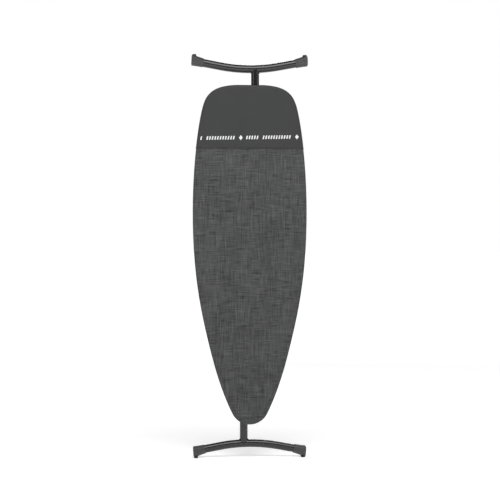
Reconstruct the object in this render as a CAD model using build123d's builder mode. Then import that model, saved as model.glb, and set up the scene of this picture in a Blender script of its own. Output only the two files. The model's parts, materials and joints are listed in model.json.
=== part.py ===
"""Folding ironing board, modelled folded and standing upright on the foot at its nose end.

Frame: +Z up along the board, nose down and heel up.  +Y points from the ironing face to the legs.
The origin is on the floor, in the middle of the folded board's width and depth.  Millimetres.
"""
import os
from math import cos, radians, sin, tan

from build123d import *

# ---- board ---------------------------------------------------------------------------------------
NOSE_Z = 134.0  # nose tip above the floor
BOARD_LENGTH = 1366.0  # over the cover
NOSE_RADIUS = 78.0
NOSE_ARC_END = 27.0  # degrees; where the nose arc runs into the side
# half-width and distance from the nose tip, along the side and round the heel corner
SIDE_POINTS = [(95.6, 99.6), (159.1, 300.5), (209.0, 541.6), (229.8, 839.0), (217.2, 1104.0)]
CORNER_POINTS = [(200.5, 1225.0), (179.0, 1305.0), (157.0, 1337.5), (104.0, 1361.0)]
INSET_STEPS = 24  # points along each side of a drawn-in outline
WIDER = 600.0  # any length greater than the board's width
PROBE = 0.5  # height of the strip that measures the outline's width

# ---- depths below the ironing face ---------------------------------------------------------------
PANEL_DEPTH = 0.6  # heat-resistant panel, sewn on the cover
COVER_DEPTH = 1.6
FOAM_DEPTH = 5.6
FELT_DEPTH = 9.0
MESH_DEPTH = 9.8
BRACE_DEPTH = 15.0
RIM_DEPTH = 20.0
HEM_START = 20.3
HEM_DEPTH = 21.3
LEG_DEPTH = 39.0  # both legs' tubes lie in this plane when folded
RAIL_DEPTH = 46.0
SHAFT_DEPTH = 50.0
FOLDED_DEPTH = 57.0

# ---- cover and steel top -------------------------------------------------------------------------
COVER_CLOTH = 1.0
HEM_WIDTH = 30.0
RIM_GAP = 1.6  # the rim's outside to the cover's outside
RIM_WALL = 1.2
RIM_FLANGE = 12.0
PANEL_SEAM = 1112.0  # from the nose tip to the panel's sewn edge
VENT_LENGTH = 42.0
VENT_WIDTH = 10.0
VENT_PITCH_X = 30.0
VENT_PITCH_Z = 60.0
VENT_MARGIN = 28.0

# ---- rails ---------------------------------------------------------------------------------------
RAIL_X = 70.0  # middle of each side rail's web
RAIL_SHEET = 2.0
RAIL_FLANGE = 18.0
RAIL_START = 150.0  # from the nose tip
RAIL_END = 1240.0
CENTRE_RAIL_END = 535.0
BRACE_AT = [215.0, 500.0, 785.0, 1050.0, 1225.0]
BRACE_WIDTH = 34.0
BRACE_SHEET = 1.2
RIVET_RADIUS = 3.5
RIVET_HEIGHT = 1.6
RIVET_ROUND = 1.0
AXLE_END = 4.0  # how far the hinge axle stands out of a web
CLIP_RADIUS = 8.0
CLIP_SHEET = 2.0

# ---- legs ----------------------------------------------------------------------------------------
TUBE_RADIUS = 16.0
TUBE_WALL = 1.5
STEM_X = 23.0  # the two stems lie side by side, this far from the middle
NOSE_BAR_Z = 56.0
HEEL_BAR_Z = 1568.5
SHORT_ARM = 500.0  # cross pivot to the hinge axle, and to the slide rod
TOP_TUBE_RADIUS = 11.0
TOP_TUBE_IN = 7.5
TOP_TUBE_OUT = 56.0
AXLE_RADIUS = 5.0
BUSH_DEPTH = 15.0
BUSH_COLLAR = 9.0
ROD_END = 91.0  # the slide rod reaches past the right rail to the comb
ROD_CLIP_GAP = 0.5  # from the slide rod's clips to the webs they pass
SLEEVE_RADIUS = 8.0
SPACER_RADIUS = 11.0
SADDLE = 2.0  # thickness of the saddle washer outside the nose leg's stem
SLEEVE_PROUD = 1.5  # the sleeve stands this far out of the heel leg's stem
NUT_HEX = 9.0
NUT_HEIGHT = 6.0
WASHER = 2.0
BOLT_PROUD = 9.0  # the bolt's end, beyond the sleeve
HOLE_OVERRUN = 1.0  # a cutting tool reaches past the far wall
OPEN_ANGLE = 47.0  # each leg, from folded to the highest position
LOW_ANGLE = 33.0  # the lowest ironing height
HEIGHT_STEPS = 7  # ironing heights, from LOW_ANGLE to OPEN_ANGLE

# ---- feet ----------------------------------------------------------------------------------------
NOSE_SPAN = 455.0  # between the cap ends, along the bar's axis
HEEL_SPAN = 469.0
BAR_ANGLE = 10.6  # slope of the bar's straight ends
BAR_RADIUS = 651.0  # of its bowed middle
CAP_LENGTH = 49.0
CAP_END_WALL = 6.0
CAP_LIP = 1.7  # wall at the cap's mouth
CAP_DEPTH = 52.0
CAP_HEIGHT = 44.0
CAP_DROP = 2.0  # the cap flares a little more on its floor side
CAP_ANGLE = 3.0  # slope of the cap's end
CAP_CORNER = 17.0
CAP_ROUND = 5.0
CAP_SHIFT = 8.0  # the cap reaches further towards the ironing face
PAD_LENGTH = 15.0
PAD_DEPTH = 37.0
PAD_HEIGHT = 7.0
PAD_INSET = 4.0  # from the cap's end to the pad's end
PAD_CHAMFER = 0.8

# ---- height lever --------------------------------------------------------------------------------
SHAFT_X = 99.0
SHAFT_RADIUS = 4.0
SHAFT_START = 288.0
SHAFT_END = 815.0
COMB_SHEET = 3.0
COMB_REACH = 22.0
COMB_START = 300.0
COMB_END = 650.0
TOOTH_DEPTH = 13.5
NOTCH_GAP = 0.6
SHAFT_BRACKETS_AT = [293.0, 660.0, 780.0]
SHAFT_BRACKET_SHEET = 3.0
BRACKET_LAND = 3.0  # metal round the shaft in a bracket, and in a ring
BRACKET_LIFT = 1.7  # clear of the cover's hem
RING_LENGTH = 3.0
HANDLE_X = 203.0
HANDLE_LENGTH = 100.0
HANDLE_BEND = 22.0
GRIP_RADIUS = 9.5
GRIP_FLATNESS = 0.7
GRIP_ROUND = 0.3  # of the grip's radius
GRIP_OVERHANG = 4.0  # the grip's closed end, past the rod's end

RUN_GAP = 0.05  # radial clearance of a running fit
FREE_GAP = 0.3  # between pieces that slide past each other

cross_z = (NOSE_BAR_Z + HEEL_BAR_Z) / 2
hinge_z = cross_z + SHORT_ARM
slide_z = cross_z - SHORT_ARM
long_arm = cross_z - NOSE_BAR_Z
leg_y = LEG_DEPTH - FOLDED_DEPTH / 2
shaft_y = SHAFT_DEPTH - FOLDED_DEPTH / 2


def depth_y(depth):
    """Y of a depth below the ironing face."""
    return depth - FOLDED_DEPTH / 2


def depth_plane(depth):
    """A sketch plane across the board at that depth, drawn in X and Z, facing the ironing face."""
    return Plane.XZ.offset(-depth_y(depth))


def rod_at(angle):
    """Height of the slide rod with the legs opened by that angle."""
    return hinge_z - 2 * SHORT_ARM * cos(radians(angle))


def finish(part, label):
    """Labels a finished piece and writes it."""
    part.label = label
    export_step(part, f"parts/{label}.step")


os.makedirs("parts", exist_ok=True)


# ---- outline -------------------------------------------------------------------------------------
def nose_arc(inset):
    """The right half of the nose, drawn in by the inset; used inside a BuildLine."""
    return CenterArc((0, NOSE_Z + NOSE_RADIUS), NOSE_RADIUS - inset, -90, 90 - NOSE_ARC_END)


with BuildLine() as right_side:
    nose = nose_arc(0)
    side_points = [(x, NOSE_Z + along) for x, along in SIDE_POINTS + CORNER_POINTS]
    side = Spline(nose @ 1, *side_points, (0, NOSE_Z + BOARD_LENGTH), tangents=[nose % 1, (-1, 0)])


def inset_outline(inset):
    """The board's outline as a face, drawn in by that much all round."""
    steps = [step / INSET_STEPS for step in range(INSET_STEPS + 1)]
    inward = [(side % step).rotate(Axis.Z, 90) for step in steps]
    points = [side @ step + normal * inset for step, normal in zip(steps, inward)]
    with BuildSketch() as sketch:
        with BuildLine():
            nose_arc(inset)
            Spline(*points, tangents=[side % 0, side % 1])
            mirror(about=Plane.YZ)
        make_face()
    return sketch.sketch.faces()[0]


def half_width(z, inset):
    """Half the width of the drawn-in outline at that height."""
    strip = Rectangle(WIDER, PROBE, mode=Mode.PRIVATE).moved(Location((0, z)))
    section = inset_outline(inset) & strip
    return section.bounding_box().max.X


def slab(start, end, inset):
    """A slab of the board's outline between two depths."""
    outline = inset_outline(inset)
    with BuildPart() as made:
        with BuildSketch(depth_plane(end)):
            add(outline)
        extrude(amount=end - start)
    return made.part


# ---- soft top ------------------------------------------------------------------------------------
cover_outside = slab(PANEL_DEPTH, HEM_DEPTH, 0)
cover_inside = slab(COVER_DEPTH, HEM_START, COVER_CLOTH)
cover_mouth = slab(HEM_START, HEM_DEPTH, HEM_WIDTH)

with BuildPart() as cover:
    add(cover_outside)
    add(cover_inside, mode=Mode.SUBTRACT)
    add(cover_mouth, mode=Mode.SUBTRACT)
finish(cover.part, "cover")

panel_layer = slab(0, PANEL_DEPTH, 0)

with BuildPart() as heat_panel:
    add(panel_layer)
    with BuildSketch(depth_plane(PANEL_DEPTH)):
        with Locations((0, NOSE_Z + PANEL_SEAM)):
            Rectangle(WIDER, BOARD_LENGTH, align=(Align.CENTER, Align.MAX))
    extrude(amount=PANEL_DEPTH, mode=Mode.SUBTRACT)
finish(heat_panel.part, "heat_panel")

finish(slab(COVER_DEPTH, FOAM_DEPTH, RIM_GAP), "foam_pad")
finish(slab(FOAM_DEPTH, FELT_DEPTH, RIM_GAP), "felt_underlay")


# ---- steel top -----------------------------------------------------------------------------------
def vent_places():
    """Centres of the vents that lie wholly inside the steel top."""
    rows = int(BOARD_LENGTH / VENT_PITCH_Z)
    for row in range(1, rows):
        z = NOSE_Z + row * VENT_PITCH_Z
        ends = (z - VENT_LENGTH / 2, z + VENT_LENGTH / 2)
        room = min(half_width(end, VENT_MARGIN) for end in ends) - VENT_WIDTH / 2
        count = int(room / VENT_PITCH_X)
        for column in range(-count, count + 1):
            yield (column * VENT_PITCH_X, z)


sheet_outline = inset_outline(RIM_GAP + RIM_WALL)
vents = list(vent_places())

with BuildPart() as steel_top:
    with BuildSketch(depth_plane(MESH_DEPTH)):
        add(sheet_outline)
        with Locations(*vents):
            SlotOverall(VENT_LENGTH, VENT_WIDTH, rotation=90, mode=Mode.SUBTRACT)
    extrude(amount=MESH_DEPTH - FELT_DEPTH)
finish(steel_top.part, "steel_top")

rim_outside = slab(FELT_DEPTH, RIM_DEPTH, RIM_GAP)
rim_inside = slab(FELT_DEPTH, RIM_DEPTH - RIM_WALL, RIM_GAP + RIM_WALL)
rim_mouth = slab(RIM_DEPTH - RIM_WALL, RIM_DEPTH, RIM_GAP + RIM_FLANGE)

with BuildPart() as edge_rim:
    add(rim_outside)
    add(rim_inside, mode=Mode.SUBTRACT)
    add(rim_mouth, mode=Mode.SUBTRACT)
finish(edge_rim.part, "edge_rim")


def cross_brace(along):
    """A shallow hat-section strip from rim to rim, under the steel top."""
    z = NOSE_Z + along
    ends = (z - BRACE_WIDTH / 2, z + BRACE_WIDTH / 2)
    half = min(half_width(end, RIM_GAP + RIM_WALL) for end in ends) - FREE_GAP
    rise = BRACE_DEPTH - MESH_DEPTH
    flange = BRACE_WIDTH / 5
    with BuildPart() as brace:
        with BuildSketch(Plane.YZ.offset(-half)):
            with Locations((depth_y(MESH_DEPTH), z)):
                Rectangle(rise, BRACE_WIDTH - 2 * flange, align=(Align.MIN, Align.CENTER))
                Rectangle(BRACE_SHEET, BRACE_WIDTH, align=(Align.MIN, Align.CENTER))
                inner = BRACE_WIDTH - 2 * (flange + BRACE_SHEET)
                Rectangle(
                    rise - BRACE_SHEET, inner, align=(Align.MIN, Align.CENTER), mode=Mode.SUBTRACT
                )
        extrude(amount=2 * half)
    return brace.part


for number, along in enumerate(BRACE_AT, 1):
    finish(cross_brace(along), f"cross_brace_{number}")


# ---- rails ---------------------------------------------------------------------------------------
def rail(x, side, start, end):
    """An angle rail: a flange on the braces and a web standing out from them at x."""
    with BuildPart() as made:
        with BuildSketch(Plane.XY.offset(NOSE_Z + start)):
            with Locations((x, depth_y(BRACE_DEPTH))):
                Rectangle(RAIL_SHEET, RAIL_DEPTH - BRACE_DEPTH, align=(Align.CENTER, Align.MIN))
            with Locations((x - side * RAIL_SHEET / 2, depth_y(BRACE_DEPTH))):
                flange_side = Align.MIN if side > 0 else Align.MAX
                Rectangle(RAIL_FLANGE, RAIL_SHEET, align=(flange_side, Align.MIN))
        extrude(amount=end - start)
        along_z = made.edges().filter_by(Axis.Z)
        fillet(along_z.filter_by_position(Axis.Y, 0, depth_y(RAIL_DEPTH) + 1), RAIL_SHEET / 4)
    return made.part


def rod_slot(x):
    """The slide rod's straight slot through a rail's web at x."""
    travel = rod_at(OPEN_ANGLE) - slide_z
    width = 2 * (AXLE_RADIUS + FREE_GAP)
    with BuildPart() as slot:
        with BuildSketch(Plane.YZ.offset(x - RAIL_SHEET)):
            with Locations((leg_y, slide_z + travel / 2)):
                SlotOverall(travel + width, width, rotation=90)
        extrude(amount=2 * RAIL_SHEET)
    return slot.part


def x_rod(start, end, z, radius):
    """A round rod along X on the legs' plane."""
    with BuildPart() as rod:
        with BuildSketch(Plane.YZ.offset(start)):
            with Locations((leg_y, z)):
                Circle(radius)
        extrude(amount=end - start)
    return rod.part


def x_ring(start, end, z, radius, bore):
    """A plain ring or tube along X on the legs' plane."""
    with BuildPart() as ring:
        with BuildSketch(Plane.YZ.offset(start)):
            with Locations((leg_y, z)):
                Circle(radius)
                Circle(bore, mode=Mode.SUBTRACT)
        extrude(amount=end - start)
    return ring.part


rail_face = RAIL_X + RAIL_SHEET / 2
bracket_start = BRACE_AT[3] - BRACE_WIDTH / 2
axle_hole = x_rod(-rail_face - HOLE_OVERRUN, RAIL_SHEET, hinge_z, AXLE_RADIUS)
right_slot = rod_slot(RAIL_X)
centre_slot = rod_slot(0)
left_angle = rail(-RAIL_X, 1, RAIL_START, RAIL_END)
right_angle = rail(RAIL_X, -1, RAIL_START, RAIL_END)
centre_angle = rail(0, -1, RAIL_START, CENTRE_RAIL_END)
bracket_angle = rail(0, 1, bracket_start, RAIL_END)

with BuildPart() as rail_left:
    add(left_angle)
    add(axle_hole, mode=Mode.SUBTRACT)
finish(rail_left.part, "rail_left")

with BuildPart() as rail_right:
    add(right_angle)
    add(right_slot, mode=Mode.SUBTRACT)
finish(rail_right.part, "rail_right")

with BuildPart() as rail_centre:
    add(centre_angle)
    add(centre_slot, mode=Mode.SUBTRACT)
finish(rail_centre.part, "rail_centre")

with BuildPart() as hinge_bracket:
    add(bracket_angle)
    add(axle_hole, mode=Mode.SUBTRACT)
finish(hinge_bracket.part, "hinge_bracket")

with BuildPart() as rail_rivets:
    flange_middle = RAIL_X - RAIL_SHEET / 2 - RAIL_FLANGE / 2 + RAIL_SHEET
    spots = [(x, NOSE_Z + along) for x in (-flange_middle, flange_middle) for along in BRACE_AT]
    with Locations(*[Location((x, depth_y(BRACE_DEPTH + RAIL_SHEET), z)) for x, z in spots]):
        base_at_end = (Align.CENTER, Align.CENTER, Align.MIN)
        Cylinder(RIVET_RADIUS, RIVET_HEIGHT, rotation=(-90, 0, 0), align=base_at_end)
    fillet(rail_rivets.edges().filter_by(GeomType.CIRCLE).group_by(Axis.Y)[-1], RIVET_ROUND)
finish(rail_rivets.part, "rail_rivets")

web_half = RAIL_SHEET / 2
finish(x_rod(-rail_face - AXLE_END, web_half + AXLE_END, hinge_z, AXLE_RADIUS), "hinge_axle")


def pair(first, second):
    """Two separate solids kept in one piece."""
    return Compound(children=[first.solid(), second.solid()])


# push-on caps hold the hinge axle outside the two webs
cap_in = x_ring(web_half, web_half + CLIP_SHEET, hinge_z, CLIP_RADIUS, AXLE_RADIUS)
cap_out = x_ring(-rail_face - CLIP_SHEET, -rail_face, hinge_z, CLIP_RADIUS, AXLE_RADIUS)
finish(pair(cap_in, cap_out), "axle_clips")


# ---- legs ----------------------------------------------------------------------------------------
def turned(part):
    """The nose leg's piece, turned end for end about the cross pivot to make the heel leg's."""
    return part.rotate(Axis((0, leg_y, cross_z), (0, 1, 0)), 180)


def bar_end(span, back):
    """X and Z of a point on the nose bar's axis, that far back from the cap's end."""
    arc_x = BAR_RADIUS * sin(radians(BAR_ANGLE))
    arc_z = NOSE_BAR_Z - BAR_RADIUS * (1 - cos(radians(BAR_ANGLE)))
    end_x = span / 2
    end_z = arc_z - (end_x - arc_x) * tan(radians(BAR_ANGLE))
    return (end_x - back * cos(radians(BAR_ANGLE)), end_z + back * sin(radians(BAR_ANGLE)))


def bar_solid(span, radius):
    """The nose bar as a solid rod: bowed in the middle, straight to both ends."""
    end_x, end_z = bar_end(span, CAP_END_WALL)
    arc_x = BAR_RADIUS * sin(radians(BAR_ANGLE))
    arc_z = NOSE_BAR_Z - BAR_RADIUS * (1 - cos(radians(BAR_ANGLE)))
    with BuildPart() as bar:
        with BuildLine() as path:
            Line((-end_x, leg_y, end_z), (-arc_x, leg_y, arc_z))
            ThreePointArc((-arc_x, leg_y, arc_z), (0, leg_y, NOSE_BAR_Z), (arc_x, leg_y, arc_z))
            Line((arc_x, leg_y, arc_z), (end_x, leg_y, end_z))
        start = path.line @ 0
        with BuildSketch(Plane(origin=start, z_dir=path.line % 0)):
            Circle(radius)
        sweep()
    return bar.part


def stem_solid(radius):
    """The nose leg's stem as a solid rod from the foot bar's axis to the hinge axle."""
    with BuildPart() as stem:
        with BuildSketch(Plane.XY.offset(NOSE_BAR_Z)):
            with Locations((-STEM_X, leg_y)):
                Circle(radius)
        extrude(amount=hinge_z - TOP_TUBE_RADIUS / 2 - NOSE_BAR_Z)
    return stem.part


def foot_bar(span):
    """The tube of a foot bar."""
    return bar_solid(span, TUBE_RADIUS) - bar_solid(span, TUBE_RADIUS - TUBE_WALL)


def cap_solid(span):
    """A foot cap's outside: round at its mouth, flaring to a deep rounded end."""
    along_bar = (cos(radians(BAR_ANGLE)), 0, -sin(radians(BAR_ANGLE)))
    end_facing = (cos(radians(CAP_ANGLE)), 0, -sin(radians(CAP_ANGLE)))
    mouth_x, mouth_z = bar_end(span, CAP_LENGTH)
    end_x, end_z = bar_end(span, 0)
    mouth_plane = Plane(origin=(mouth_x, leg_y, mouth_z), x_dir=(0, 1, 0), z_dir=along_bar)
    end_plane = Plane(origin=(end_x, leg_y, end_z - CAP_DROP), x_dir=(0, 1, 0), z_dir=end_facing)
    with BuildPart() as cap:
        with BuildSketch(mouth_plane):
            Circle(TUBE_RADIUS + CAP_LIP)
        with BuildSketch(end_plane):
            with Locations((-CAP_SHIFT, 0)):
                RectangleRounded(CAP_DEPTH, CAP_HEIGHT, CAP_CORNER)
        loft()
        fillet(cap.faces().sort_by(Axis.X)[-1].edges(), CAP_ROUND)
    return cap.part


def foot_cap(span):
    """The right foot cap, bored for the end of the bar."""
    return cap_solid(span) - bar_solid(span, TUBE_RADIUS)


def foot_pad(span):
    """The rubber pad under the right foot cap, flat on the floor."""
    end_x, _ = bar_end(span, PAD_INSET)
    with BuildPart() as pad:
        with BuildSketch(Plane.XY):
            with Locations((end_x - PAD_LENGTH / 2, leg_y - CAP_SHIFT)):
                RectangleRounded(PAD_LENGTH, PAD_DEPTH, PAD_LENGTH / 4)
        extrude(amount=PAD_HEIGHT)
        chamfer(pad.edges().group_by(Axis.Z)[0], PAD_CHAMFER)
    return pad.part - cap_solid(span)


hole_reach = TUBE_RADIUS + HOLE_OVERRUN
bolt_hole = x_rod(-STEM_X - hole_reach, -STEM_X + hole_reach, cross_z, AXLE_RADIUS)
sleeve_hole = x_rod(-STEM_X - hole_reach, -STEM_X + hole_reach, cross_z, SLEEVE_RADIUS)
top_rod = x_rod(-TOP_TUBE_OUT, 0, hinge_z, TOP_TUBE_RADIUS)
stem_tube = stem_solid(TUBE_RADIUS) - stem_solid(TUBE_RADIUS - TUBE_WALL) - top_rod

# the nose leg is hinged near the heel; the heel leg slides near the nose
nose_stem = stem_tube - bar_solid(NOSE_SPAN, TUBE_RADIUS) - bolt_hole
heel_stem = turned(stem_tube - bar_solid(HEEL_SPAN, TUBE_RADIUS) - sleeve_hole)
finish(nose_stem, "nose_leg_stem")
finish(heel_stem, "heel_leg_stem")

finish(foot_bar(NOSE_SPAN), "nose_foot_bar")
finish(turned(foot_bar(HEEL_SPAN)), "heel_foot_bar")

nose_cap = foot_cap(NOSE_SPAN)
heel_cap = foot_cap(HEEL_SPAN)
finish(nose_cap, "nose_foot_cap_right")
finish(nose_cap.mirror(Plane.YZ), "nose_foot_cap_left")
finish(turned(heel_cap), "heel_foot_cap_left")
finish(turned(heel_cap.mirror(Plane.YZ)), "heel_foot_cap_right")

nose_pad = foot_pad(NOSE_SPAN)
heel_pad = foot_pad(HEEL_SPAN)
finish(nose_pad, "nose_foot_pad_right")
finish(nose_pad.mirror(Plane.YZ), "nose_foot_pad_left")
finish(turned(heel_pad), "heel_foot_pad_left")
finish(turned(heel_pad.mirror(Plane.YZ)), "heel_foot_pad_right")

top_tube_bore = TOP_TUBE_RADIUS - TUBE_WALL
top_tube = x_ring(-TOP_TUBE_OUT, -TOP_TUBE_IN, hinge_z, TOP_TUBE_RADIUS, top_tube_bore)
finish(top_tube, "nose_leg_hinge_tube")
finish(turned(top_tube), "heel_leg_slide_tube")


def bushes(bore):
    """The two collared bushes in the hinge tube, reaching almost to the rails' webs."""
    outer_end = -RAIL_X + web_half + FREE_GAP
    inner_end = -web_half - FREE_GAP
    outer = x_ring(-TOP_TUBE_OUT, -TOP_TUBE_OUT + BUSH_DEPTH, hinge_z, top_tube_bore, bore)
    outer += x_ring(outer_end, -TOP_TUBE_OUT, hinge_z, BUSH_COLLAR, bore)
    inner = x_ring(-TOP_TUBE_IN - BUSH_DEPTH, -TOP_TUBE_IN, hinge_z, top_tube_bore, bore)
    inner += x_ring(-TOP_TUBE_IN, inner_end, hinge_z, BUSH_COLLAR, bore)
    return outer, inner


hinge_outer, hinge_inner = bushes(AXLE_RADIUS + RUN_GAP)
slide_outer, slide_inner = bushes(AXLE_RADIUS)
finish(pair(hinge_outer, hinge_inner), "hinge_bushes")
finish(pair(turned(slide_outer), turned(slide_inner)), "slide_bushes")

# ---- slide rod -----------------------------------------------------------------------------------
rod_start = -web_half - ROD_CLIP_GAP - CLIP_SHEET
clip_in = x_ring(rod_start, rod_start + CLIP_SHEET, slide_z, BUSH_COLLAR, AXLE_RADIUS)
clip_out = x_ring(rail_face + ROD_CLIP_GAP, rail_face + CLIP_SHEET, slide_z, BUSH_COLLAR, AXLE_RADIUS)
finish(x_rod(rod_start, ROD_END, slide_z, AXLE_RADIUS), "slide_rod")
finish(pair(clip_in, clip_out), "slide_rod_clips")

# ---- cross pivot ---------------------------------------------------------------------------------
stem_edge = STEM_X + TUBE_RADIUS
sleeve_start = STEM_X - TUBE_RADIUS - SLEEVE_PROUD
sleeve_end = stem_edge + SLEEVE_PROUD
sleeve = x_ring(sleeve_start, sleeve_end, cross_z, SLEEVE_RADIUS, AXLE_RADIUS + RUN_GAP)
finish(sleeve, "pivot_sleeve")

solid_stem = stem_solid(TUBE_RADIUS)
spacer_end = sleeve_start - FREE_GAP
spacer = x_ring(-STEM_X, spacer_end, cross_z, SPACER_RADIUS, AXLE_RADIUS) - solid_stem
saddle_out = -stem_edge - SADDLE
saddle = x_ring(saddle_out, -STEM_X, cross_z, SPACER_RADIUS, AXLE_RADIUS) - solid_stem
finish(pair(spacer, saddle), "pivot_spacers")


def hex_end(start, end):
    """A six-sided head or nut on the cross pivot's axis."""
    with BuildPart() as head:
        with BuildSketch(Plane.YZ.offset(start)):
            with Locations((leg_y, cross_z)):
                RegularPolygon(NUT_HEX, 6)
        extrude(amount=end - start)
    return head.part


bolt_head = hex_end(saddle_out - NUT_HEIGHT, saddle_out)
bolt_shank = x_rod(saddle_out, sleeve_end + BOLT_PROUD, cross_z, AXLE_RADIUS)
finish(bolt_head + bolt_shank, "pivot_bolt")

washer_start = sleeve_end + FREE_GAP
nut_start = washer_start + WASHER
washer = x_ring(washer_start, nut_start, cross_z, SPACER_RADIUS, AXLE_RADIUS)
nut = hex_end(nut_start, nut_start + NUT_HEIGHT) - bolt_shank
finish(pair(washer, nut), "pivot_nut")


# ---- height lever --------------------------------------------------------------------------------
with BuildPart() as lever_rod:
    with BuildLine():
        FilletPolyline(
            (SHAFT_X, shaft_y, SHAFT_START),
            (SHAFT_X, shaft_y, SHAFT_END),
            (HANDLE_X, shaft_y, SHAFT_END),
            (HANDLE_X, shaft_y, SHAFT_END - HANDLE_BEND - HANDLE_LENGTH),
            radius=HANDLE_BEND,
        )
    with BuildSketch(Plane.XY.offset(SHAFT_START)):
        with Locations((SHAFT_X, shaft_y)):
            Circle(SHAFT_RADIUS)
    sweep()
finish(lever_rod.part, "lever_rod")

with BuildPart() as lever_grip:
    grip_top = SHAFT_END - HANDLE_BEND
    grip_length = HANDLE_LENGTH + GRIP_OVERHANG
    with BuildSketch(Plane.XY.offset(grip_top - grip_length)):
        with Locations((HANDLE_X, shaft_y)):
            Ellipse(GRIP_RADIUS, GRIP_RADIUS * GRIP_FLATNESS)
    extrude(amount=grip_length)
    fillet(lever_grip.edges(), GRIP_RADIUS * GRIP_ROUND)
    with BuildSketch(Plane.XY.offset(grip_top)):
        with Locations((HANDLE_X, shaft_y)):
            Circle(SHAFT_RADIUS)
    extrude(amount=-HANDLE_LENGTH, mode=Mode.SUBTRACT)
finish(lever_grip.part, "lever_grip")

# a notch for the folded legs, then one for each ironing height
low_rod = rod_at(LOW_ANGLE)
height_pitch = (rod_at(OPEN_ANGLE) - low_rod) / (HEIGHT_STEPS - 1)
notches = [slide_z] + [low_rod + step * height_pitch for step in range(HEIGHT_STEPS)]
notch_width = 2 * (AXLE_RADIUS + NOTCH_GAP)

with BuildPart() as comb_plate:
    with BuildSketch(Plane.XZ.offset(-shaft_y - COMB_SHEET / 2)):
        with Locations((SHAFT_X, COMB_START)):
            Rectangle(COMB_REACH, COMB_END - COMB_START, align=(Align.MAX, Align.MIN))
        with Locations(*[(SHAFT_X - COMB_REACH, z) for z in notches]):
            SlotOverall(2 * TOOTH_DEPTH, notch_width, mode=Mode.SUBTRACT)
    extrude(amount=COMB_SHEET)
finish(comb_plate.part - lever_rod.part, "height_comb")


def shaft_bracket(z):
    """A plate standing out from the right rail to carry the lever's shaft."""
    reach = SHAFT_X + SHAFT_RADIUS + BRACKET_LAND
    start = HEM_DEPTH + BRACKET_LIFT
    end = FOLDED_DEPTH - 1
    with BuildPart() as bracket:
        with BuildSketch(Plane.XY.offset(z)):
            with Locations(((rail_face + reach) / 2, depth_y((start + end) / 2))):
                RectangleRounded(reach - rail_face, end - start, SHAFT_RADIUS)
            with Locations((SHAFT_X, shaft_y)):
                Circle(SHAFT_RADIUS + RUN_GAP, mode=Mode.SUBTRACT)
        extrude(amount=SHAFT_BRACKET_SHEET)
    return bracket.part


for number, z in enumerate(SHAFT_BRACKETS_AT, 1):
    finish(shaft_bracket(z), f"shaft_bracket_{number}")

# rings on the shaft, either side of the middle bracket, keep it from sliding
with BuildPart() as shaft_rings:
    middle = SHAFT_BRACKETS_AT[1] + SHAFT_BRACKET_SHEET / 2
    offset_z = SHAFT_BRACKET_SHEET / 2 + FREE_GAP + RING_LENGTH / 2
    with Locations(*[(SHAFT_X, shaft_y, middle + side * offset_z) for side in (-1, 1)]):
        Cylinder(SHAFT_RADIUS + BRACKET_LAND, RING_LENGTH)
        Cylinder(SHAFT_RADIUS, RING_LENGTH, mode=Mode.SUBTRACT)
finish(shaft_rings.part, "shaft_rings")
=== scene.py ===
"""Visual model of the folding ironing board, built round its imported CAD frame.

Metres, in the CAD frame: +Z up along the board, the ironing face towards -Y, the legs towards +Y.
"""
import json
from math import cos, pi, radians, sin, sqrt, tan

import bmesh
import bpy
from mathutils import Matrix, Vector, noise
from mathutils.bvhtree import BVHTree
from mathutils.geometry import convex_hull_2d


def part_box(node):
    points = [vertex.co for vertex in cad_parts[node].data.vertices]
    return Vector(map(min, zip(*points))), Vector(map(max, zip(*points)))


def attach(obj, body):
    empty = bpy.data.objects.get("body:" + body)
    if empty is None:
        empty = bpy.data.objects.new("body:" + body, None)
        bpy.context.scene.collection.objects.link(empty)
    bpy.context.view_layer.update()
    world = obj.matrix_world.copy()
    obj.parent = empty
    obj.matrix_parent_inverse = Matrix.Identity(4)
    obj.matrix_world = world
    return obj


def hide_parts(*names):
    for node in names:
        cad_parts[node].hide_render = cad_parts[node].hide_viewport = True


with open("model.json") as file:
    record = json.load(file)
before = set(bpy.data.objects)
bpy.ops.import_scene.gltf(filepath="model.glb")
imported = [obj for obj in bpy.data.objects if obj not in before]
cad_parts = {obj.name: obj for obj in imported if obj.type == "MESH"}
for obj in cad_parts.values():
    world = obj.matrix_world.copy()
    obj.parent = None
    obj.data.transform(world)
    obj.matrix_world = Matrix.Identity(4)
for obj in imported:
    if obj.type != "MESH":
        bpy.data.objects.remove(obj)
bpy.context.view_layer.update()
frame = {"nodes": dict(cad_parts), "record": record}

MM = 0.001
MERGE = 0.00002  # vertices nearer than this, in metres, become one
scene = bpy.context.scene
scene.view_settings.view_transform = "Standard"
nodes = frame["nodes"]

# ---- the places that the CAD gives ---------------------------------------------------------------
board_low, board_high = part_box("cover")
face_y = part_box("heat_panel")[0].y  # the ironing face
seam_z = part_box("heat_panel")[0].z  # the heat-resistant panel's sewn edge
heel_z = board_high.z
nose_z = board_low.z
half_width = board_high.x
half_length = (heel_z - nose_z) / 2
middle_z = (heel_z + nose_z) / 2


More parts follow.
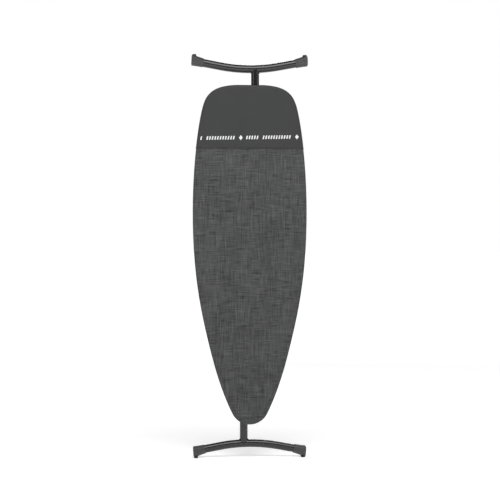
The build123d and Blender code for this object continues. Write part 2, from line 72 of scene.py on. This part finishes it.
# ---- materials -----------------------------------------------------------------------------------
class Look:
    """One procedural material, with short calls for the nodes it needs."""

    def __init__(self, name, color, roughness, metallic=0.0):
        self.material = bpy.data.materials.new(name)
        self.material.use_nodes = True
        self.material.diffuse_color = (*color, 1)
        self.tree = self.material.node_tree
        self.shader = self.tree.nodes["Principled BSDF"]
        self.place = self.tree.nodes.new("ShaderNodeTexCoord").outputs["Object"]
        self.set("Base Color", (*color, 1))
        self.set("Roughness", roughness)
        self.set("Metallic", metallic)

    def set(self, socket, value):
        self.shader.inputs[socket].default_value = value

    def link(self, output, socket):
        self.tree.links.new(output, self.shader.inputs[socket])

    def node(self, kind, inputs=None, **settings):
        made = self.tree.nodes.new("ShaderNode" + kind)
        for key, value in settings.items():
            setattr(made, key, value)
        for key, value in (inputs or {}).items():
            if hasattr(value, "is_output"):
                self.tree.links.new(value, made.inputs[key])
            else:
                made.inputs[key].default_value = value
        return made

    def scaled(self, x, y, z):
        return self.node("Mapping", {"Vector": self.place, "Scale": (x, y, z)}).outputs["Vector"]

    def noise(self, scale, detail=3.0, rough=0.5):
        """Noise whose features are about 1/scale metres across on each axis."""
        place = self.scaled(*scale)
        made = self.node("TexNoise", {"Vector": place, "Scale": 1.0, "Detail": detail, "Roughness": rough})
        return made.outputs["Fac"]

    def waves(self, scale, axis, distortion=0.0):
        place = self.scaled(*scale)
        made = self.node(
            "TexWave", {"Vector": place, "Scale": 1.0, "Distortion": distortion}, bands_direction=axis
        )
        return made.outputs["Fac"]

    def math(self, operation, a, b=0.0):
        return self.node("Math", {0: a, 1: b}, operation=operation).outputs[0]

    def spread(self, value, low, high, to_low, to_high):
        inputs = {"Value": value, 1: low, 2: high, 3: to_low, 4: to_high}
        return self.node("MapRange", inputs).outputs["Result"]

    def shade(self, value, dark, light):
        """A colour between two, by a value from 0 to 1."""
        ramp = self.node("ValToRGB", {"Fac": value})
        ramp.color_ramp.elements[0].color = (*dark, 1)
        ramp.color_ramp.elements[1].color = (*light, 1)
        return ramp.outputs["Color"]

    def bump(self, height, strength, depth, after=None):
        inputs = {"Height": height, "Strength": strength, "Distance": depth}
        if after is not None:
            inputs["Normal"] = after
        return self.node("Bump", inputs).outputs["Normal"]


def grey(level, tint=0.0):
    """A near-neutral colour, a little bluer for a positive tint."""
    return (level * (1 - tint), level, level * (1 + tint))


def denim_look():
    """Dark grey melange cloth: scattered slubs both ways over a fine weave."""
    look = Look("denim_cloth", grey(0.06, 0.01), 0.9)
    weft = look.noise((30, 8, 520), 3, 0.6)
    warp = look.noise((520, 8, 26), 3, 0.6)
    weft_slub = look.noise((17, 5, 210), 2, 0.45)
    warp_slub = look.noise((190, 5, 13), 2, 0.45)
    weft_patch = look.spread(look.noise((22, 5, 34), 2, 0.5), 0.38, 0.62, 0.15, 1.0)
    warp_patch = look.spread(look.noise((36, 7, 20), 2, 0.5), 0.38, 0.62, 0.15, 1.0)
    fleck = look.noise((900, 200, 900), 2, 0.6)
    mottle = look.noise((9, 3, 5), 3, 0.5)
    weft_mark = look.math("MULTIPLY", look.math("SUBTRACT", weft_slub, 0.5), weft_patch)
    warp_mark = look.math("MULTIPLY", look.math("SUBTRACT", warp_slub, 0.5), warp_patch)
    slub = look.math("ADD", weft_mark, warp_mark)
    fine = look.math("ADD", weft, warp)
    threads = look.math("ADD", look.math("MULTIPLY", fine, 0.5), look.math("MULTIPLY", slub, 0.85))
    broad = look.math("ADD", threads, look.math("MULTIPLY", mottle, 0.22))
    total = look.math("ADD", broad, look.math("MULTIPLY", fleck, 0.25))
    value = look.spread(total, 0.49, 0.97, 0.0, 1.0)
    look.link(look.shade(value, grey(0.023, 0.01), grey(0.089, 0.01)), "Base Color")
    twill = look.waves((450, 120, 450), "DIAGONAL", 0.6)
    normal = look.bump(twill, 0.25, 0.0003)
    normal = look.bump(fine, 0.3, 0.0006, normal)
    look.link(look.bump(slub, 0.35, 0.0008, normal), "Normal")
    look.link(look.spread(fine, 0.6, 1.4, 0.84, 0.96), "Roughness")
    look.set("Sheen Weight", 0.03)
    look.set("Sheen Roughness", 0.5)
    look.set("Specular IOR Level", 0.2)
    return look.material


def heat_look():
    """Smooth coated cloth: a faint close weave and a slight even sheen."""
    look = Look("heat_cloth", grey(0.05, 0.01), 0.62)
    cloud = look.noise((7, 4, 7), 3, 0.5)
    look.link(look.shade(cloud, grey(0.027, 0.01), grey(0.036, 0.01)), "Base Color")
    across = look.waves((700, 50, 0), "X", 0.2)
    along = look.waves((0, 50, 700), "Z", 0.2)
    weave = look.math("MULTIPLY", across, along)
    normal = look.bump(weave, 0.12, 0.0002)
    ripple = look.noise((16, 6, 10), 2, 0.4)
    look.link(look.bump(ripple, 0.12, 0.004, normal), "Normal")
    look.link(look.spread(cloud, 0.3, 0.7, 0.56, 0.68), "Roughness")
    look.set("Sheen Weight", 0.03)
    look.set("Specular IOR Level", 0.25)
    return look.material


def felt_look():
    look = Look("felt", (0.30, 0.29, 0.27), 1.0)
    fibre = look.noise((500, 500, 500), 4, 0.7)
    patch = look.noise((30, 30, 30), 3, 0.6)
    value = look.math("ADD", look.math("MULTIPLY", fibre, 0.6), look.math("MULTIPLY", patch, 0.4))
    look.link(look.shade(value, (0.19, 0.185, 0.175), (0.42, 0.41, 0.385)), "Base Color")
    look.link(look.bump(fibre, 0.6, 0.0008), "Normal")
    look.set("Sheen Weight", 0.3)
    return look.material


def powder_look():
    """Black powder coat: semi-gloss with a very fine orange peel, duller where it is handled."""
    look = Look("black_powder_coat", grey(0.011, 0.02), 0.3)
    peel = look.noise((650, 650, 650), 2, 0.5)
    rub = look.noise((22, 22, 9), 4, 0.6)
    look.link(look.shade(rub, grey(0.004, 0.02), grey(0.009, 0.02)), "Base Color")
    look.link(look.spread(rub, 0.3, 0.75, 0.22, 0.34), "Roughness")
    look.set("Specular IOR Level", 0.35)
    look.link(look.bump(peel, 0.03, 0.0001), "Normal")
    look.set("Coat Weight", 0.45)
    look.set("Coat Roughness", 0.1)
    return look.material


def zinc_look():
    look = Look("zinc_plated_steel", (0.55, 0.56, 0.57), 0.34, 1.0)
    drawn = look.noise((900, 900, 40), 3, 0.6)
    bloom = look.noise((70, 70, 70), 3, 0.5)
    look.link(look.shade(bloom, (0.42, 0.43, 0.44), (0.62, 0.62, 0.61)), "Base Color")
    look.link(look.spread(drawn, 0.3, 0.7, 0.26, 0.44), "Roughness")
    look.link(look.bump(drawn, 0.08, 0.0002), "Normal")
    return look.material


def cap_look():
    """Moulded plastic with a fine spark-eroded grain."""
    look = Look("moulded_plastic", grey(0.036, 0.01), 0.5)
    grain = look.noise((1400, 1400, 1400), 2, 0.6)
    scuff = look.noise((60, 60, 60), 4, 0.65)
    look.link(look.shade(scuff, grey(0.028, 0.01), grey(0.046, 0.01)), "Base Color")
    look.link(look.spread(scuff, 0.35, 0.7, 0.42, 0.58), "Roughness")
    look.link(look.bump(grain, 0.25, 0.0003), "Normal")
    return look.material


def rubber_look():
    look = Look("rubber", grey(0.016), 0.8)
    dust = look.noise((120, 120, 120), 4, 0.6)
    look.link(look.shade(dust, grey(0.011), grey(0.026)), "Base Color")
    look.link(look.bump(look.noise((900, 900, 900), 2, 0.5), 0.3, 0.0003), "Normal")
    return look.material


def nylon_look():
    look = Look("nylon", grey(0.42), 0.42)
    cloud = look.noise((90, 90, 90), 3, 0.5)
    look.link(look.shade(cloud, grey(0.36), grey(0.48)), "Base Color")
    look.link(look.bump(cloud, 0.05, 0.0005), "Normal")
    look.set("Subsurface Weight", 0.08)
    return look.material


def thread_look(name, dark, light):
    look = Look(name, grey(light), 0.75)
    ply = look.waves((2600, 900, 2600), "DIAGONAL")
    look.link(look.shade(ply, grey(dark), grey(light)), "Base Color")
    look.link(look.bump(ply, 0.4, 0.0001), "Normal")
    look.set("Sheen Weight", 0.3)
    return look.material


def ink_look():
    """Off-white printing ink, worn thin over the weave."""
    look = Look("white_print", grey(0.6), 0.7)
    wear = look.noise((600, 100, 600), 4, 0.7)
    look.link(look.shade(wear, grey(0.5), grey(0.78)), "Base Color")
    look.link(look.bump(wear, 0.2, 0.0002), "Normal")
    return look.material


NEAR_GLOW = 0.5
GLOW_START = 0.8  # metres from the board
GLOW_END = 7.0


def floor_look():
    """Pale studio paper, which glows up to the white of the sky as it goes away from the board."""
    look = Look("studio_floor", grey(0.86), 0.8)
    tone = look.noise((1.5, 1.5, 1.5), 2, 0.5)
    look.link(look.shade(tone, grey(0.855), grey(0.865)), "Base Color")
    look.set("Specular IOR Level", 0.1)
    look.set("Emission Color", (1, 1, 1, 1))
    away = look.node("VectorMath", {0: look.place}, operation="LENGTH").outputs["Value"]
    look.link(look.spread(away, GLOW_START, GLOW_END, NEAR_GLOW, 1.0), "Emission Strength")
    return look.material


denim = denim_look()
heat_cloth = heat_look()
felt = felt_look()
powder = powder_look()
zinc = zinc_look()
cap_plastic = cap_look()
rubber = rubber_look()
nylon = nylon_look()
thread = thread_look("thread", 0.02, 0.045)
# near-black cloth for the seam's fold: painted shade along the seam
fold_and_painted_seam_shade = thread_look("fold_and_painted_seam_shade", 0.004, 0.01)
ink = ink_look()

slot_looks = {
    "denim": denim,
    "heat_cloth": heat_cloth,
    "foam": felt,
    "felt": felt,
    "black_frame": powder,
    "bare_steel": zinc,
    "cap_plastic": cap_plastic,
    "rubber": rubber,
    "nylon": nylon,
}
for entry in frame["record"]["subparts"]:
    node = nodes[entry["node"]]
    node.data.materials.clear()
    node.data.materials.append(slot_looks[entry["material_slot"]])


# ---- mesh helpers --------------------------------------------------------------------------------
def finish_piece(mesh, name, look, body="board", smooth=True):
    """Turns a bmesh into a piece that rides on its body."""
    bmesh.ops.recalc_face_normals(mesh, faces=mesh.faces)
    data = bpy.data.meshes.new(name)
    mesh.to_mesh(data)
    mesh.free()
    for face in data.polygons:
        face.use_smooth = smooth
    piece = bpy.data.objects.new(name, data)
    scene.collection.objects.link(piece)
    data.materials.append(look)
    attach(piece, body)
    return piece


def bake(piece, kind, **settings):
    """Adds a modifier and applies it at once."""
    modifier = piece.modifiers.new(kind.title(), kind)
    for key, value in settings.items():
        setattr(modifier, key, value)
    graph = bpy.context.evaluated_depsgraph_get()
    data = bpy.data.meshes.new_from_object(piece.evaluated_get(graph))
    piece.modifiers.remove(modifier)
    old = piece.data
    piece.data = data
    bpy.data.meshes.remove(old)


def strip(mesh, rings, closed=True):
    """Joins rings of points by rows of faces and returns the rings' vertices."""
    made = [[mesh.verts.new(point) for point in ring] for ring in rings]
    for one, two in zip(made, made[1:]):
        count = len(one)
        for i in range(count if closed else count - 1):
            j = (i + 1) % count
            mesh.faces.new((one[i], one[j], two[j], two[i]))
    return made


# ---- board outline -------------------------------------------------------------------------------
SIDE_STEPS = 320
OUTLINE_POINTS = 2 * SIDE_STEPS
SMOOTHINGS = 3
GATHERS = ((88, 0.6), (61, 0.4))  # gathers round the hem, and the share of the wave that each has
GATHER_IN = 0.35  # how far the gathers also move the hem in and out


def side_outline():
    """Evenly spaced points up the right side of the CAD cover, from the nose tip to the heel's middle."""
    flat = [Vector((v.co.x, v.co.z)) for v in nodes["cover"].data.vertices]
    corners = [flat[i] for i in convex_hull_2d(flat)]
    corners = sorted((p for p in corners if p.x > MM), key=lambda p: p.y)
    corners = [Vector((0, nose_z))] + corners + [Vector((0, heel_z))]
    spans = [(b - a).length for a, b in zip(corners, corners[1:])]
    step = sum(spans) / SIDE_STEPS
    points = [corners[0]]
    corner = 0
    gone = 0.0
    for i in range(1, SIDE_STEPS):
        while gone + spans[corner] < i * step:
            gone += spans[corner]
            corner += 1
        points.append(corners[corner].lerp(corners[corner + 1], (i * step - gone) / spans[corner]))
    return points + [corners[-1]]


def board_outline():
    """The whole outline, the left side a mirror of the right, with the inward direction at each point."""
    right = side_outline()
    points = right + [Vector((-p.x, p.y)) for p in reversed(right[1:-1])]
    for _ in range(SMOOTHINGS):
        around = zip(points[-1:] + points[:-1], points, points[1:] + points[:1])
        points = [(a + 2 * b + c) / 4 for a, b, c in around]
    inward = []
    for a, c in zip(points[-1:] + points[:-1], points[1:] + points[:1]):
        along = (c - a).normalized()
        inward.append(Vector((-along.y, along.x)))
    return points, inward


outline, outline_in = board_outline()


def edge_ring(inset, depth, wave=0.0):
    """The outline drawn in by inset at that depth below the ironing face, both in mm."""
    ring = []
    for i, (point, inward) in enumerate(zip(outline, outline_in)):
        turn = i * 2 * pi / OUTLINE_POINTS
        gather = wave * sum(share * sin(count * turn) for count, share in GATHERS)
        at = point + inward * (inset + GATHER_IN * gather) * MM
        ring.append(Vector((at.x, face_y + (depth + gather) * MM, at.y)))
    return ring


SWELL_EDGE = 70  # mm in from the edge, where the padding reaches its full height
BROAD_SHARE = 0.7  # of the creases, the rest being folds


def face_ring(inset, depth, swell, crease):
    """A ring of the flat face: the outline shrunk towards the board's middle line.

    The padding swells the face a little, and faint creases cross it.
    """
    ring = []
    across = 1 - inset * MM / half_width
    along = 1 - inset * MM / half_length
    for point in outline:
        x = point.x * across
        z = middle_z + (point.y - middle_z) * along
        rise = min(1.0, inset / SWELL_EDGE)
        rise = rise * rise * (3 - 2 * rise)
        broad = noise.noise(Vector((x * 7, 3.1, z * 5)))
        fold = noise.noise(Vector((x * 4, 9.7, z * 34))) + noise.noise(Vector((x * 30, 5.3, z * 3)))
        uneven = BROAD_SHARE * broad + (1 - BROAD_SHARE) * fold
        depth_here = depth - swell * rise - crease * uneven * rise
        ring.append(Vector((x, face_y + depth_here * MM, z)))
    return ring


FACE_RINGS = 44


def face_rings(first, depth, swell, crease):
    """Rings from an inset to the board's middle line."""
    last = half_width / MM
    steps = [i / FACE_RINGS for i in range(FACE_RINGS + 1)]
    return [face_ring(first + (last - first) * step, depth, swell, crease) for step in steps]


# ---- cover ---------------------------------------------------------------------------------------
# from the gathered hem under the rim, round the edge, on to the face: inset, depth, gather, in mm
COVER_PROFILE = [
    (30.0, 20.9, 0.5),
    (32.4, 21.2, 0.9),
    (33.4, 22.6, 1.0),
    (32.6, 24.2, 1.0),
    (30.6, 24.8, 1.0),
    (28.6, 24.0, 1.0),
    (27.4, 22.9, 1.0),
    (24.0, 22.6, 0.9),
    (19.0, 22.4, 0.75),
    (14.0, 22.2, 0.55),
    (9.0, 22.0, 0.35),
    (5.0, 21.7, 0.15),
    (2.4, 20.8, 0.05),
    (0.9, 19.2, 0.0),
    (0.2, 17.0, 0.0),
    (0.0, 14.0, 0.0),
    (0.0, 11.0, 0.0),
    (0.3, 8.6, 0.0),
    (1.1, 6.2, 0.0),
    (2.6, 4.0, 0.0),
    (4.8, 2.4, 0.0),
    (7.6, 1.4, 0.0),
    (11.0, 0.9, 0.0),
    (15.0, 0.7, 0.0),
]
HEM_RINGS = 7  # the rings of the gathered hem itself
FACE_DEPTH = 0.6
FACE_START = 20.0  # inset of the first ring of the flat face
SWELL = 1.2
CREASE = 0.45
COVER_CLOTH = 0.9
PANEL_CLOTH = 0.7
ROLL_OUT = 0.6  # a layer's thickness counts this much sideways on the rolled parts
SIDE_WALL = (5, 20)  # depths between which the cover's edge faces sideways
TOP_ROLL_END = 8  # down to this depth, an outer layer is also lifted towards the front


def cover_skin(out):
    """The cover's outer surface, moved outward by that many mm, as a bmesh."""
    mesh = bmesh.new()
    rings = []
    for i, (inset, depth, gather) in enumerate(COVER_PROFILE):
        wall_top, wall_bottom = SIDE_WALL
        side_out = out if wall_top < depth < wall_bottom else ROLL_OUT * out
        under = out if i >= HEM_RINGS and depth > wall_bottom else 0.0
        lift = -out if depth <= TOP_ROLL_END else under
        rings.append(edge_ring(inset - side_out, depth + lift, gather))
    rings += face_rings(FACE_START, FACE_DEPTH - out, SWELL, CREASE)
    strip(mesh, rings)
    bmesh.ops.remove_doubles(mesh, verts=mesh.verts, dist=MERGE)
    return mesh


skin = cover_skin(0.0)
cover_piece = finish_piece(skin, "cover_cloth", denim)
bake(cover_piece, "SOLIDIFY", thickness=COVER_CLOTH * MM, offset=-1)
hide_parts("cover")

# ---- heat-resistant panel ------------------------------------------------------------------------
PANEL_OUT = 0.9
panel_mesh = cover_skin(PANEL_OUT)
everything = panel_mesh.verts[:] + panel_mesh.edges[:] + panel_mesh.faces[:]
bmesh.ops.bisect_plane(
    panel_mesh, geom=everything, plane_co=(0, 0, seam_z), plane_no=(0, 0, -1), clear_outer=True
)
surface = BVHTree.FromBMesh(panel_mesh)


def seam_chain(mesh):
    """The panel's cut edge as a line of points from one side of the hem to the other."""
    on_seam = [v for v in mesh.verts if abs(v.co.z - seam_z) < MERGE]
    linked = {v: [] for v in on_seam}
    for edge in mesh.edges:
        one, two = edge.verts
        if one in linked and two in linked and edge.is_boundary:
            linked[one].append(two)
            linked[two].append(one)
    ends = [v for v, others in linked.items() if len(others) == 1]
    chain = [min(ends, key=lambda v: v.co.x)]
    seen = {chain[0]}
    while True:
        following = [v for v in linked[chain[-1]] if v not in seen]
        if not following:
            return [v.co.copy() for v in chain]
        chain.append(following[0])
        seen.add(following[0])


seam_line = seam_chain(panel_mesh)
panel_piece = finish_piece(panel_mesh, "heat_panel_cloth", heat_cloth)
bake(panel_piece, "SOLIDIFY", thickness=PANEL_CLOTH * MM, offset=-1)
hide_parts("heat_panel")


def face_point(x, z, lift):
    """The point of the panel's face at x and z, raised by lift in mm."""
    hit = surface.ray_cast(Vector((x, face_y - 0.05, z)), Vector((0, 1, 0)))[0]
    y = hit.y if hit else face_y
    return Vector((x, y - lift * MM, z))


def tube(mesh, points, radius, sides=6):
    """A closed tube along points."""
    rings = []
    for i, point in enumerate(points):
        ahead = points[min(i + 1, len(points) - 1)] - points[max(i - 1, 0)]
        ahead.normalize()
        side = ahead.cross(Vector((0, 0, 1)))
        if side.length < 0.1:
            side = ahead.cross(Vector((0, 1, 0)))
        side.normalize()
        up = side.cross(ahead)
        turn = [2 * pi * k / sides for k in range(sides)]
        rings.append([point + (side * cos(a) + up * sin(a)) * radius for a in turn])
    made = strip(mesh, rings)
    mesh.faces.new(made[0])
    mesh.faces.new(made[-1])


BINDING_RADIUS = 1.5
BINDING_DROP = 0.6  # mm below the panel's cut edge


def seam_fold_and_painted_shade():
    """The narrow fold that the panel is sewn down with, coloured near-black as painted shade along the
    seam.
    """
    mesh = bmesh.new()
    drop = Vector((0, 0, -BINDING_DROP * MM))
    # the tube's near-black colour is painted shade of the seam's groove
    tube(mesh, [point + drop for point in seam_line], BINDING_RADIUS * MM, 8)
    return finish_piece(mesh, "seam_fold_and_painted_shade", fold_and_painted_seam_shade)


seam_fold_shade_piece = seam_fold_and_painted_shade()

STITCH_PITCH = 4.6
STITCH_LENGTH = 3.3
STITCH_MARGIN = 26  # mm clear of the board's widest edge
THREAD_RADIUS = 0.38
STITCH_ROWS = (4.5, 8.5)  # mm above the seam


def stitches():
    """Two rows of stitches along the panel's edge."""
    mesh = bmesh.new()
    reach = half_width / MM - STITCH_MARGIN
    count = int(2 * reach / STITCH_PITCH)
    for row in STITCH_ROWS:
        for i in range(count):
            x = -reach + (i + 0.5) * STITCH_PITCH
            steps = [(-0.5, -0.15), (-0.25, 0.2), (0.25, 0.2), (0.5, -0.15)]
            path = [face_point((x + f * STITCH_LENGTH) * MM, seam_z + row * MM, lift) for f, lift in steps]
            tube(mesh, path, THREAD_RADIUS * MM, 6)
    return finish_piece(mesh, "panel_stitches", thread)


stitch_piece = stitches()

# ---- printed band --------------------------------------------------------------------------------
PRINT_ABOVE_SEAM = 43.0
PRINT_HEIGHT = 14.0
PRINT_PITCH = 226.0
PRINT_TILT = radians(1.0)
DIAMOND_AT = -37.0
DIAMOND_HALF = 7.5  # across
DIAMOND_RISE = 10.0  # up and down
BAR_WIDTH = 5.2
BAR_PITCH = 10.6
BAR_SLANT = 3.0
BAR_GROUPS = [(-15.0, 5), (52.0, 11)]  # start of each group of bars and their number
PRINT_LIFT = 0.25
INK_THICKNESS = 0.12
PRINT_MARGIN = 13


def patch(mesh, corners):
    """A printed shape that lies on the panel's face; corners in mm from the band's middle."""
    points = []
    for x, z in corners:
        z_here = seam_z + (PRINT_ABOVE_SEAM + z) * MM + tan(PRINT_TILT) * x * MM
        points.append(face_point(x * MM, z_here, PRINT_LIFT))
    low = [mesh.verts.new(point + Vector((0, INK_THICKNESS * MM, 0))) for point in points]
    top = [mesh.verts.new(point) for point in points]
    mesh.faces.new(top)
    mesh.faces.new(low[::-1])
    for i in range(len(points)):
        j = (i + 1) % len(points)
        mesh.faces.new((top[i], low[i], low[j], top[j]))


def printed_band():
    """A repeating row of slanted bars, with a diamond between the groups."""
    mesh = bmesh.new()
    limit = half_width / MM - PRINT_MARGIN
    high = PRINT_HEIGHT / 2
    for repeat in (-1, 0, 1):
        shift = repeat * PRINT_PITCH
        middle = DIAMOND_AT + shift
        if abs(middle) + DIAMOND_HALF < limit:
            half = DIAMOND_HALF
            rise = DIAMOND_RISE
            patch(mesh, [(middle - half, 0), (middle, -rise), (middle + half, 0), (middle, rise)])
        for start, count in BAR_GROUPS:
            for i in range(count):
                x = start + shift + i * BAR_PITCH
                if abs(x) + BAR_PITCH > limit:
                    continue
                right = x + BAR_WIDTH
                lean = BAR_SLANT / 2
                foot = [(x - lean, -high), (right - lean, -high)]
                head = [(right + lean, high), (x + lean, high)]
                patch(mesh, foot + head)
    return finish_piece(mesh, "printed_band", ink, smooth=False)


print_piece = printed_band()


# ---- padding -------------------------------------------------------------------------------------
PAD_TOP = 1.75  # depth of the padding's front below the ironing face
PAD_BACK = 8.85
PAD_BACK_INSET = 9.0
PAD_UNEVEN = 0.12
# round the padding's edge from its back to its front: inset and depth, in mm
PAD_EDGE = [(5.0, 8.8), (3.2, 8.3), (2.3, 7.2), (2.2, 5.8), (2.9, 4.4), (4.4, 3.2), (6.6, 2.4), (9.5, 1.95)]


def padding():
    """Foam on felt as one soft slab with rolled edges, a little uneven on its back."""
    mesh = bmesh.new()
    back = list(reversed(face_rings(PAD_BACK_INSET, PAD_BACK, 0.0, PAD_UNEVEN)))
    front = face_rings(FACE_START, PAD_TOP, SWELL, CREASE)
    strip(mesh, back + [edge_ring(inset, depth) for inset, depth in PAD_EDGE] + front)
    bmesh.ops.remove_doubles(mesh, verts=mesh.verts, dist=MERGE)
    piece = finish_piece(mesh, "board_padding", felt)
    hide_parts("foam_pad", "felt_underlay")


padding()


# ---- expanded steel mesh -------------------------------------------------------------------------
CELL_LONG = 22.0
CELL_WIDE = 10.0
STRAND = 0.24  # share of a cell's half that is metal
MESH_INSET = 14.0
MESH_DEPTH = 9.1
MESH_SHEET = 0.7


def inside_board(x, z, inset):
    """Whether a point is inside the outline drawn in by inset, in mm."""
    nearest = min(range(0, OUTLINE_POINTS, 4), key=lambda i: (outline[i] - Vector((x, z))).length_squared)
    return (Vector((x, z)) - outline[nearest]).dot(outline_in[nearest]) > inset * MM


def steel_mesh():
    """A sheet of diamond openings inside the rim."""
    mesh = bmesh.new()
    y = face_y + MESH_DEPTH * MM
    wide = CELL_WIDE / 2 * MM
    tall = CELL_LONG / 2 * MM
    columns = int(half_width / wide)
    rows = int(half_length / tall)
    hole = 1 - STRAND
    for row in range(-2 * rows, 2 * rows + 1):
        for column in range(-columns, columns + 1):
            if (row + column) % 2:
                continue
            x = column * wide
            z = middle_z + row * tall
            if abs(row) > rows or not inside_board(x, z, MESH_INSET):
                continue
            corners = [(wide, 0), (0, tall), (-wide, 0), (0, -tall)]
            outer = [mesh.verts.new((x + dx, y, z + dz)) for dx, dz in corners]
            inner = [mesh.verts.new((x + dx * hole, y, z + dz * hole)) for dx, dz in corners]
            for i in range(4):
                j = (i + 1) % 4
                mesh.faces.new((outer[i], outer[j], inner[j], inner[i]))
    bmesh.ops.remove_doubles(mesh, verts=mesh.verts, dist=0.00005)
    piece = finish_piece(mesh, "steel_mesh", powder, smooth=False)
    bake(piece, "SOLIDIFY", thickness=MESH_SHEET * MM, offset=0)
    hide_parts("steel_top")


steel_mesh()


# ---- weld beads ----------------------------------------------------------------------------------
TUBE_RADIUS = 16.0
BEAD_RADIUS = 2.6
BEAD_STEPS = 96
BEAD_SIDES = 10
BEAD_RIPPLES = 24
BEAD_RIPPLE = 0.06


def weld_bead(name, body, stem, bar, up):
    """The fillet of weld where a stem stands on its foot bar."""
    stem_low, stem_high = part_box(stem)
    bar_low, bar_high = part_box(bar)
    middle = (stem_low + stem_high) / 2
    axis_z = bar_high.z - TUBE_RADIUS * MM if up > 0 else bar_low.z + TUBE_RADIUS * MM
    rings = []
    reach = TUBE_RADIUS * MM
    for i in range(BEAD_STEPS):
        angle = 2 * pi * i / BEAD_STEPS
        outward = Vector((cos(angle), sin(angle), 0))
        height = sqrt(max(0.0, 1 - sin(angle) ** 2)) * reach
        base = Vector((middle.x, middle.y, axis_z)) + outward * reach + Vector((0, 0, up * height))
        radius = BEAD_RADIUS * MM * (1 + BEAD_RIPPLE * sin(BEAD_RIPPLES * angle))
        ring = []
        for k in range(BEAD_SIDES):
            turn = 2 * pi * k / BEAD_SIDES
            ring.append(base + outward * cos(turn) * radius + Vector((0, 0, sin(turn) * radius)))
        rings.append(ring)
    mesh = bmesh.new()
    strip(mesh, rings + rings[:1])
    bmesh.ops.remove_doubles(mesh, verts=mesh.verts, dist=MERGE)
    finish_piece(mesh, name, powder, body)


weld_bead("nose_foot_weld", "nose_leg", "nose_leg_stem", "nose_foot_bar", 1)
weld_bead("heel_foot_weld", "heel_leg", "heel_leg_stem", "heel_foot_bar", -1)

# ---- studio --------------------------------------------------------------------------------------
PICTURE_WIDTH = 500
VIEW_SCALE = 4.018 * MM  # metres across one of the picture's columns, at the board
VIEW_YAW = radians(-3.5)
VIEW_HEIGHT = 0.837
LENS = 100.0
SENSOR = 36.0
SKY_LIGHT = 0.12
FLOOR_REACH = 400.0


def camera():
    data = bpy.data.cameras.new("camera")
    data.lens = LENS
    data.sensor_width = SENSOR
    distance = PICTURE_WIDTH * VIEW_SCALE * LENS / SENSOR
    eye = bpy.data.objects.new("camera", data)
    aim = Vector((0, face_y, VIEW_HEIGHT))
    eye.location = aim + Vector((sin(VIEW_YAW), -cos(VIEW_YAW), 0)) * distance
    eye.rotation_euler = (aim - eye.location).to_track_quat("-Z", "Y").to_euler()
    scene.collection.objects.link(eye)
    scene.camera = eye


def area_light(name, place, aim, size, power):
    data = bpy.data.lights.new(name, "AREA")
    data.shape = "RECTANGLE"
    data.size, data.size_y = size
    data.energy = power
    lamp = bpy.data.objects.new(name, data)
    lamp.location = place
    lamp.rotation_euler = (Vector(aim) - Vector(place)).to_track_quat("-Z", "Y").to_euler()
    scene.collection.objects.link(lamp)


def studio():
    """A pale floor under a white sky, with five soft area lights."""
    mesh = bmesh.new()
    for x, y in ((-1, -1), (1, -1), (1, 1), (-1, 1)):
        mesh.verts.new((x * FLOOR_REACH, y * FLOOR_REACH, 0))
    mesh.faces.new(mesh.verts)
    data = bpy.data.meshes.new("floor")
    mesh.to_mesh(data)
    mesh.free()
    floor = bpy.data.objects.new("floor", data)
    data.materials.append(floor_look())
    scene.collection.objects.link(floor)
    white_sky()
    area_light("top", (0.0, -2.2, 3.9), (0, 0, 0.9), (3.2, 2.4), 120)
    area_light("low", (0.0, -2.6, 0.25), (0, 0, 0.5), (2.2, 0.3), 6)
    area_light("left", (-2.5, -1.6, 0.8), (0, 0, 0.8), (0.3, 2.6), 20)
    area_light("right", (2.5, -1.5, 0.8), (0, 0, 0.8), (0.3, 2.6), 16)
    area_light("back", (0.9, 3.2, 2.4), (0, 0, 0.8), (1.6, 0.8), 30)


def white_sky():
    """A white backdrop that lights the board more gently than it looks."""
    world = bpy.data.worlds.new("studio")
    world.use_nodes = True
    tree = world.node_tree
    sky = tree.nodes["Background"]
    sky.inputs["Color"].default_value = (1, 1, 1, 1)
    seen = tree.nodes.new("ShaderNodeLightPath").outputs["Is Camera Ray"]
    strength = tree.nodes.new("ShaderNodeMapRange")
    strength.inputs["To Min"].default_value = SKY_LIGHT
    strength.inputs["To Max"].default_value = 1.0
    tree.links.new(seen, strength.inputs["Value"])
    tree.links.new(strength.outputs["Result"], sky.inputs["Strength"])
    scene.world = world


camera()
studio()
